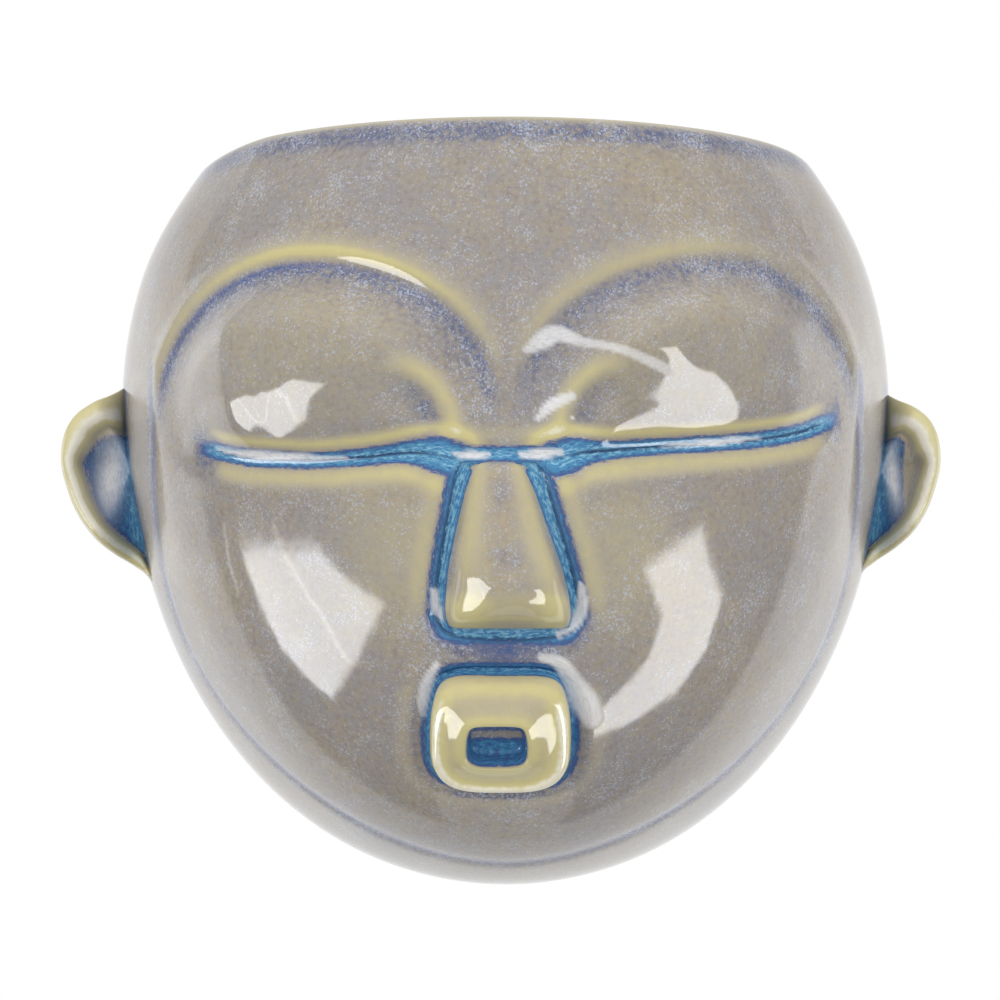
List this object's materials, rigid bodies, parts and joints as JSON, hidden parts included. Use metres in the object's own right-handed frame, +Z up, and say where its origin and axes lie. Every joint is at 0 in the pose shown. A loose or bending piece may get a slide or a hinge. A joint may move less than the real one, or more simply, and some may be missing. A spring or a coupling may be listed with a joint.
{
  "type": "face wall planter",
  "caption": "Wall-hung glazed ceramic plant pocket shaped as a stylised mask face, flat at the back with a keyhole, open along the top rim, with ears, nose and block mouth in relief.",
  "frame": {"origin": "seat of the hanging screw, at the middle of the keyhole's top end, on the wall plane", "axes": "+Z up, +Y into the wall so that the face looks along -Y, +X to the right of someone who looks at the face"},
  "size_m": [0.1861, 0.0986, 0.1574],
  "materials": {
    "glaze_thick": "gloss reactive glaze, grey-brown with blue where it pools and fine pale specks",
    "glaze_thin": "the same gloss reactive glaze where it breaks thin over raised clay, olive-yellow"
  },
  "bodies": {
    "root": {"face_shell": "glaze_thick", "back_wall": "glaze_thick", "ear_left": "glaze_thin", "ear_right": "glaze_thin", "nose": "glaze_thin", "mouth": "glaze_thin"}
  },
  "joints": []
}
